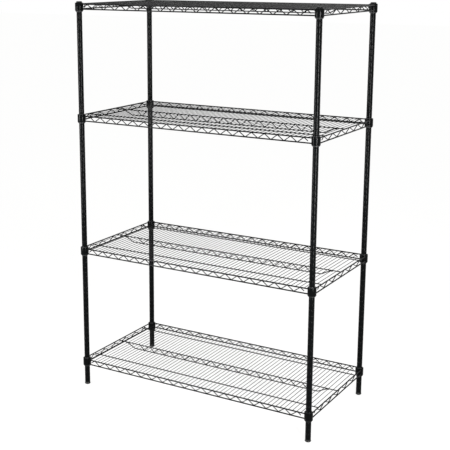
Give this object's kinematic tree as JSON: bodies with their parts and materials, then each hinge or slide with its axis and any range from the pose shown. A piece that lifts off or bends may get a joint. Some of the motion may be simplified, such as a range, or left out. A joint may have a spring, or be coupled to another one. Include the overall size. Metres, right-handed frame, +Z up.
{
  "type": "wire shelving rack",
  "caption": "Free-standing wire shelving rack: welded wire shelves wedged on split sleeves along grooved round posts, with levelling feet",
  "frame": {"origin": "on the floor, at the centre of the footprint", "axes": "+Z up along the posts, +X along the long side to the right, +Y to the back"},
  "size_m": [1.2192, 0.6096, 1.8442],
  "materials": {
    "coated_steel": "black epoxy powder coat, semi-gloss",
    "moulded_plastic": "moulded black plastic, satin",
    "foot_steel": "blackened steel, satin"
  },
  "bodies": {
    "posts_and_sleeves": {"post_front_left": "coated_steel", "cap_front_left": "moulded_plastic", "foot_socket_front_left": "moulded_plastic", "post_front_right": "coated_steel", "cap_front_right": "moulded_plastic", "foot_socket_front_right": "moulded_plastic", "post_back_left": "coated_steel", "cap_back_left": "moulded_plastic", "foot_socket_back_left": "moulded_plastic", "post_back_right": "coated_steel", "cap_back_right": "moulded_plastic", "foot_socket_back_right": "moulded_plastic", "sleeve_bottom_front_left_front_half": "moulded_plastic", "sleeve_bottom_front_left_back_half": "moulded_plastic", "sleeve_bottom_front_right_front_half": "moulded_plastic", "sleeve_bottom_front_right_back_half": "moulded_plastic", "sleeve_bottom_back_left_front_half": "moulded_plastic", "sleeve_bottom_back_left_back_half": "moulded_plastic", "sleeve_bottom_back_right_front_half": "moulded_plastic", "sleeve_bottom_back_right_back_half": "moulded_plastic", "sleeve_lower_front_left_front_half": "moulded_plastic", "sleeve_lower_front_left_back_half": "moulded_plastic", "sleeve_lower_front_right_front_half": "moulded_plastic", "sleeve_lower_front_right_back_half": "moulded_plastic", "sleeve_lower_back_left_front_half": "moulded_plastic", "sleeve_lower_back_left_back_half": "moulded_plastic", "sleeve_lower_back_right_front_half": "moulded_plastic", "sleeve_lower_back_right_back_half": "moulded_plastic", "sleeve_upper_front_left_front_half": "moulded_plastic", "sleeve_upper_front_left_back_half": "moulded_plastic", "sleeve_upper_front_right_front_half": "moulded_plastic", "sleeve_upper_front_right_back_half": "moulded_plastic", "sleeve_upper_back_left_front_half": "moulded_plastic", "sleeve_upper_back_left_back_half": "moulded_plastic", "sleeve_upper_back_right_front_half": "moulded_plastic", "sleeve_upper_back_right_back_half": "moulded_plastic", "sleeve_top_front_left_front_half": "moulded_plastic", "sleeve_top_front_left_back_half": "moulded_plastic", "sleeve_top_front_right_front_half": "moulded_plastic", "sleeve_top_front_right_back_half": "moulded_plastic", "sleeve_top_back_left_front_half": "moulded_plastic", "sleeve_top_back_left_back_half": "moulded_plastic", "sleeve_top_back_right_front_half": "moulded_plastic", "sleeve_top_back_right_back_half": "moulded_plastic"},
    "bottom_shelf": {"shelf_bottom": "coated_steel"},
    "lower_shelf": {"shelf_lower": "coated_steel"},
    "upper_shelf": {"shelf_upper": "coated_steel"},
    "top_shelf": {"shelf_top": "coated_steel"},
    "front_left_foot": {"foot_front_left": "foot_steel"},
    "front_right_foot": {"foot_front_right": "foot_steel"},
    "back_left_foot": {"foot_back_left": "foot_steel"},
    "back_right_foot": {"foot_back_right": "foot_steel"}
  },
  "joints": [
    {"name": "bottom_shelf_lift", "type": "slide", "parent": "posts_and_sleeves", "child": "bottom_shelf", "axis": [0, 0, 1], "range_m": [0, 0.515]},
    {"name": "lower_shelf_lift", "type": "slide", "parent": "posts_and_sleeves", "child": "lower_shelf", "axis": [0, 0, 1], "range_m": [0, 0.592]},
    {"name": "upper_shelf_lift", "type": "slide", "parent": "posts_and_sleeves", "child": "upper_shelf", "axis": [0, 0, 1], "range_m": [0, 0.465]},
    {"name": "top_shelf_lift", "type": "slide", "parent": "posts_and_sleeves", "child": "top_shelf", "axis": [0, 0, 1], "range_m": [0, 0.1]},
    {"name": "front_left_foot_levelling", "type": "slide", "parent": "posts_and_sleeves", "child": "front_left_foot", "axis": [0, 0, -1], "range_m": [0, 0.02]},
    {"name": "front_right_foot_levelling", "type": "slide", "parent": "posts_and_sleeves", "child": "front_right_foot", "axis": [0, 0, -1], "range_m": [0, 0.02]},
    {"name": "back_left_foot_levelling", "type": "slide", "parent": "posts_and_sleeves", "child": "back_left_foot", "axis": [0, 0, -1], "range_m": [0, 0.02]},
    {"name": "back_right_foot_levelling", "type": "slide", "parent": "posts_and_sleeves", "child": "back_right_foot", "axis": [0, 0, -1], "range_m": [0, 0.02]}
  ]
}
